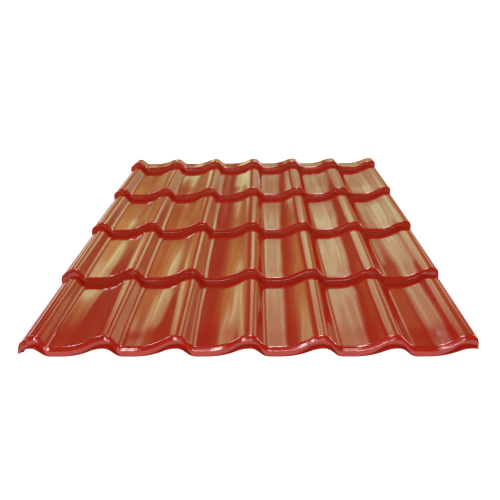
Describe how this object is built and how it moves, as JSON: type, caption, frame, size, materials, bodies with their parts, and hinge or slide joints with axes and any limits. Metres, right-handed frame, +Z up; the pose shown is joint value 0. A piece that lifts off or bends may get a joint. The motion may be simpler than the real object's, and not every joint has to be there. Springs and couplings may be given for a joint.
{
  "type": "tile effect metal roofing sheet",
  "caption": "Pressed steel roof cladding sheet with waves across it and steps along it that imitate rows of clay tiles",
  "frame": {"origin": "centre of the sheet's outline, on the level surface that its pans rest on", "axes": "X across the waves, Y from the front edge up the slope to the rear edge, Z up out of the weather side"},
  "size_m": [1.154, 1.4824, 0.0431],
  "materials": {
    "red_brown_coat": "gloss"
  },
  "bodies": {
    "root": {"tile_sheet": "red_brown_coat"}
  },
  "joints": []
}
